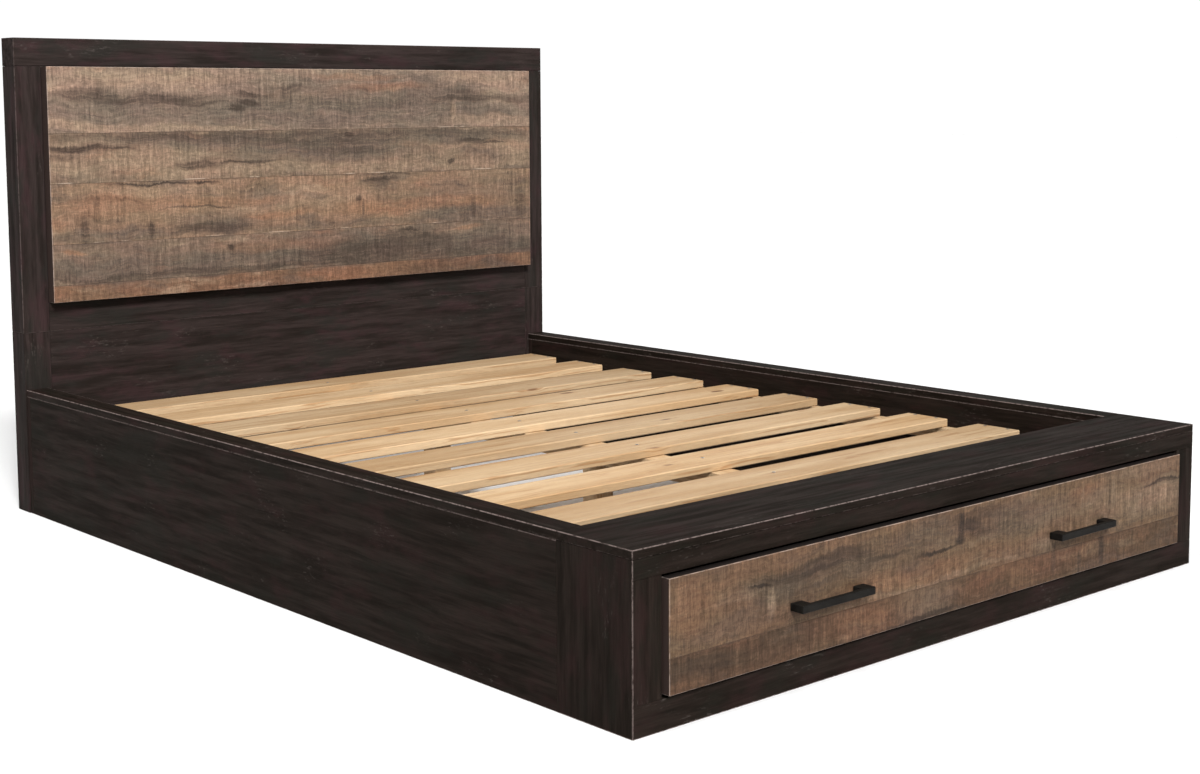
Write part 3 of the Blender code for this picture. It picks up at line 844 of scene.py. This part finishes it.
def finish_nodes():
    """Gives every node of the frame the finish of its material slot."""
    slots = {}
    for part in frame["record"]["subparts"]:
        slots.setdefault(part["material_slot"], []).append(part["node"])
    finish_dark_boards(slots["ebony_laminate"])
    finish_plank_faces()
    for seed, name in enumerate(slots["slat_pine"], 1):
        set_finish(name, knotty_pine(f"pine_{name}", long_axis(name), seed))
    for seed, name in enumerate(slots["drawer_board"], 1):
        set_finish(name, drawer_board(f"board_{name}", long_axis(name), seed))
    iron = black_iron("handle_iron")
    for name in slots["handle_black"]:
        set_finish(name, iron)
    steel = zinc_steel("slide_zinc", ALONG)
    for name in slots["slide_steel"]:
        set_finish(name, steel)


# ---------------------------------------------------------------- small hardware

# A screw's head, in shares of its radius.
SCREW_SIDES = 24
SCREW_ARMS = 4
HEAD_RINGS = (0.12, 0.30, 0.55, 0.62, 0.82, 0.95, 1.0)
DOME_DROP = 0.6
DOMED = 0.45
FLAT = 0.22
RECESS_REACH = 0.55
RECESS_CORE = 0.30
RECESS_DEPTH = 0.35
RECESS_SHARE = 0.8
FOOT_DEPTH = 0.1


def add_screw(mesh, place, facing, radius, rise):
    """A domed head with a cross recess. It stands on a surface and faces away from it, and
    rise is its height as a share of its radius."""
    turn = Vector(facing).to_track_quat("Z", "Y").to_matrix().to_4x4()
    seat = Matrix.Translation(place) @ turn
    quarter = SCREW_SIDES // SCREW_ARMS

    def ring_at(reach, height_at):
        ring = []
        for side in range(SCREW_SIDES):
            angle = 2.0 * math.pi * side / SCREW_SIDES
            height = height_at(reach, side)
            point = Vector((reach * math.cos(angle), reach * math.sin(angle), height)) * radius
            ring.append(mesh.verts.new(seat @ point))
        return ring

    def head_height(reach, side):
        height = rise * (1.0 - DOME_DROP * reach ** 2)
        on_arm = side % quarter in (0, quarter - 1)
        if reach <= RECESS_CORE or (on_arm and reach <= RECESS_REACH):
            height -= min(RECESS_DEPTH, height * RECESS_SHARE)
        return height

    rings = [ring_at(reach, head_height) for reach in HEAD_RINGS]
    rings.append(ring_at(1.0, lambda reach, side: -FOOT_DEPTH))
    for inner, outer in zip(rings, rings[1:]):
        for side in range(SCREW_SIDES):
            after = (side + 1) % SCREW_SIDES
            mesh.faces.new((inner[side], outer[side], outer[after], inner[after]))
    mesh.faces.new(rings[0])
    mesh.faces.new(list(reversed(rings[-1])))


SHARP_ANGLE = math.radians(35.0)


def add_piece(name, mesh, material, body):
    """Turns a finished bmesh into a piece that moves with a body and has its finish."""
    data = bpy.data.meshes.new(name)
    bmesh.ops.recalc_face_normals(mesh, faces=mesh.faces)
    mesh.to_mesh(data)
    mesh.free()
    data.shade_smooth()
    data.set_sharp_from_angle(angle=SHARP_ANGLE)
    data.materials.append(material)
    piece = bpy.data.objects.new(name, data)
    bpy.context.scene.collection.objects.link(piece)
    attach(piece, body)


def add_screws(name, seats, radius, material, body, rise):
    """One piece of screws, at each seat: a place and the direction that its head faces."""
    mesh = bmesh.new()
    for place, facing in seats:
        add_screw(mesh, place, facing, radius, rise)
    add_piece(name, mesh, material, body)


def spread(start, end, count):
    """Evenly spaced values from start to end, both included."""
    return [start + (end - start) * index / (count - 1) for index in range(count)]


UP = (0.0, 0.0, 1.0)
BACKWARD = (0.0, 1.0, 0.0)
LEFTWARD = (-1.0, 0.0, 0.0)
RIGHTWARD = (1.0, 0.0, 0.0)

SLATS = [f"slat_{index:02d}" for index in range(1, 11)]
SLAT_SCREW_INSET = 0.028
LARGE_SCREW = 0.0045
SMALL_SCREW = 0.0036
SLIDE_SCREW = 0.0030


def screw_down_slats(steel):
    """Two screws through each end of a slat into its ledger, and one into the centre rail."""
    seats = []
    for name in SLATS:
        low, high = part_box(name)
        for ledger in ("left_slat_ledger", "right_slat_ledger"):
            ledger_low, ledger_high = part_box(ledger)
            x = (ledger_low.x + ledger_high.x) / 2.0
            for y in (low.y + SLAT_SCREW_INSET, high.y - SLAT_SCREW_INSET):
                seats.append(((x, y, high.z), UP))
        seats.append(((0.0, (low.y + high.y) / 2.0, high.z), UP))
    add_screws("slat_screws", seats, LARGE_SCREW, steel, "bed", FLAT)


BATTEN_SCREW_INSET = 0.018
BATTEN_END_GAP = 0.05
BATTEN_SCREWS = 7


def screw_on_battens(steel):
    """Two rows of screws down each batten behind the headboard."""
    seats = []
    for name in ("headboard_left_batten", "headboard_right_batten"):
        low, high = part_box(name)
        for x in (low.x + BATTEN_SCREW_INSET, high.x - BATTEN_SCREW_INSET):
            for z in spread(low.z + BATTEN_END_GAP, high.z - BATTEN_END_GAP, BATTEN_SCREWS):
                seats.append(((x, high.y, z), BACKWARD))
    add_screws("batten_screws", seats, LARGE_SCREW, steel, "bed", FLAT)


BACK_SCREW_INSET = 0.022
BACK_SCREWS_ACROSS = 9
BACK_SCREWS_UP = 4


def screw_on_back_panel(steel):
    """Screws round the edge of the headboard's back panel."""
    low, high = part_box("headboard_back_panel")
    left, right = low.x + BACK_SCREW_INSET, high.x - BACK_SCREW_INSET
    bottom, top = low.z + BACK_SCREW_INSET, high.z - BACK_SCREW_INSET
    seats = []
    for x in spread(left, right, BACK_SCREWS_ACROSS):
        for z in (bottom, top):
            seats.append(((x, high.y, z), BACKWARD))
    for z in spread(bottom, top, BACK_SCREWS_UP)[1:-1]:
        for x in (left, right):
            seats.append(((x, high.y, z), BACKWARD))
    add_screws("back_panel_screws", seats, SMALL_SCREW, steel, "bed", DOMED)


HANDLE_POST = 0.028


def screw_on_handles(steel):
    """Two screws for each handle, through the drawer's inner front, seen from inside it."""
    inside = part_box("drawer_inner_front")[1].y
    seats = []
    for name in ("left_handle", "right_handle"):
        low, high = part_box(name)
        for x in (low.x + HANDLE_POST / 2.0, high.x - HANDLE_POST / 2.0):
            seats.append(((x, inside, (low.z + high.z) / 2.0), BACKWARD))
    add_screws("handle_screws", seats, LARGE_SCREW, steel, "drawer", DOMED)


BOX_SCREW_DROPS = (0.018, 0.085)
BRACE_END_GAP = 0.05
BRACE_SCREWS = 4


def screw_drawer_box(steel):
    """Screws through the drawer's sides into the ends of its front and back, and up through
    its bottom into the brace under it."""
    seats = []
    left_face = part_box("drawer_left_side")[0].x
    right_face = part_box("drawer_right_side")[1].x
    for face, outward in ((left_face, LEFTWARD), (right_face, RIGHTWARD)):
        for end in ("drawer_inner_front", "drawer_back"):
            low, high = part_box(end)
            for drop in BOX_SCREW_DROPS:
                seats.append(((face, (low.y + high.y) / 2.0, high.z - drop), outward))
    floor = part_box("drawer_bottom")[1].z
    low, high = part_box("drawer_bottom_brace")
    for y in spread(low.y + BRACE_END_GAP, high.y - BRACE_END_GAP, BRACE_SCREWS):
        seats.append(((0.0, y, floor), UP))
    add_screws("drawer_box_screws", seats, SMALL_SCREW, steel, "drawer", FLAT)


SLIDE_SHEET = 0.0012
SLIDE_END_GAP = 0.035
SLIDE_SCREWS = 3


def channel_seats(channel, facing):
    """Seats along the floor of a slide's channel, whose open side is where the heads face."""
    low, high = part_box(channel)
    floor = low.x + SLIDE_SHEET if facing == RIGHTWARD else high.x - SLIDE_SHEET
    middle = (low.z + high.z) / 2.0
    ys = spread(low.y + SLIDE_END_GAP, high.y - SLIDE_END_GAP, SLIDE_SCREWS)
    return [((floor, y, middle), facing) for y in ys]


def screw_on_slides(steel):
    """Screws that hold each slide's outer channel to the bay and its inner one to the drawer."""
    fixed = channel_seats("left_slide_outer", RIGHTWARD) + channel_seats("right_slide_outer", LEFTWARD)
    moving = channel_seats("left_slide_inner", LEFTWARD) + channel_seats("right_slide_inner", RIGHTWARD)
    add_screws("slide_outer_screws", fixed, SLIDE_SCREW, steel, "bed", FLAT)
    add_screws("slide_inner_screws", moving, SLIDE_SCREW, steel, "drawer", FLAT)


def add_hardware():
    steel = zinc_steel("screw_zinc", ACROSS)
    screw_down_slats(steel)
    screw_on_battens(steel)
    screw_on_back_panel(steel)
    screw_on_handles(steel)
    screw_drawer_box(steel)
    screw_on_slides(steel)


# ---------------------------------------------------------------- stage

FLOOR_HALF = 40.0
FLOOR_GREY = (0.89, 0.89, 0.89, 1.0)
HORIZON = (1.05, 1.05, 1.05, 1.0)
HORIZON_TOP = 0.20
CEILING = (0.28, 0.275, 0.27, 1.0)
CEILING_EDGE = 0.38
SUN_TOWARDS = (-0.36, -0.75, 0.65)
SUN_STRENGTH = 4.5
SUN_SPREAD = math.radians(13.0)
HEAD_LAMP_PLACE = (-0.6, -1.0, 2.6)
HEAD_LAMP_AIM = (0.0, 1.07, 0.8)
HEAD_LAMP_SIZE = 0.8
HEAD_LAMP_POWER = 52.0


def add_floor():
    half = FLOOR_HALF
    mesh = bpy.data.meshes.new("floor")
    corners = [(-half, -half, 0.0), (half, -half, 0.0), (half, half, 0.0), (-half, half, 0.0)]
    mesh.from_pydata(corners, [], [(0, 1, 2, 3)])
    floor = bpy.data.objects.new("floor", mesh)
    bpy.context.scene.collection.objects.link(floor)
    finish = Finish("floor_paint")
    mesh.materials.append(finish.finish(FLOOR_GREY, 0.9, specular=0.1))


def add_lamp(name, place, aim, size, power):
    """A soft square lamp at a place, turned towards a point."""
    light = bpy.data.lights.new(name, "AREA")
    light.size = size
    light.energy = power
    lamp = bpy.data.objects.new(name, light)
    bpy.context.scene.collection.objects.link(lamp)
    turn = (Vector(aim) - Vector(place)).to_track_quat("-Z", "Y").to_matrix().to_4x4()
    lamp.matrix_world = Matrix.Translation(place) @ turn


def add_sky():
    """A white horizon under a dimmer ceiling."""
    world = bpy.data.worlds.new("studio")
    world.use_nodes = True
    tree = world.node_tree
    direction = tree.nodes.new("ShaderNodeTexCoord")
    split = tree.nodes.new("ShaderNodeSeparateXYZ")
    ramp = tree.nodes.new("ShaderNodeValToRGB")
    ramp.color_ramp.interpolation = "EASE"
    horizon, ceiling = ramp.color_ramp.elements
    horizon.position = HORIZON_TOP
    horizon.color = HORIZON
    ceiling.position = CEILING_EDGE
    ceiling.color = CEILING
    tree.links.new(direction.outputs["Generated"], split.inputs[0])
    tree.links.new(split.outputs["Z"], ramp.inputs[0])
    tree.links.new(ramp.outputs[0], tree.nodes["Background"].inputs["Color"])
    bpy.context.scene.world = world


def add_sun():
    """A soft sun from the front left."""
    light = bpy.data.lights.new("sun", "SUN")
    light.energy = SUN_STRENGTH
    light.angle = SUN_SPREAD
    sun = bpy.data.objects.new("sun", light)
    bpy.context.scene.collection.objects.link(sun)
    sun.matrix_world = Vector(SUN_TOWARDS).to_track_quat("Z", "Y").to_matrix().to_4x4()


def add_light():
    """The sky, the sun, and a lamp over the bed for the headboard."""
    bpy.context.scene.view_settings.view_transform = "Standard"
    add_sky()
    add_sun()
    add_lamp("head_lamp", HEAD_LAMP_PLACE, HEAD_LAMP_AIM, HEAD_LAMP_SIZE, HEAD_LAMP_POWER)


def add_camera():
    lens = bpy.data.cameras.new("camera")
    lens.lens = CAMERA_LENS
    lens.sensor_width = CAMERA_SENSOR
    lens.shift_y = CAMERA_SHIFT
    camera = bpy.data.objects.new("camera", lens)
    bpy.context.scene.collection.objects.link(camera)
    yaw = Matrix.Rotation(-CAMERA_YAW, 4, "Z")
    pitch = Matrix.Rotation(math.pi / 2 - CAMERA_PITCH, 4, "X")
    roll = Matrix.Rotation(CAMERA_ROLL, 4, "Z")
    camera.matrix_world = Matrix.Translation(CAMERA_PLACE) @ yaw @ pitch @ roll
    bpy.context.scene.camera = camera


finish_nodes()
add_hardware()
add_floor()
add_light()
add_camera()
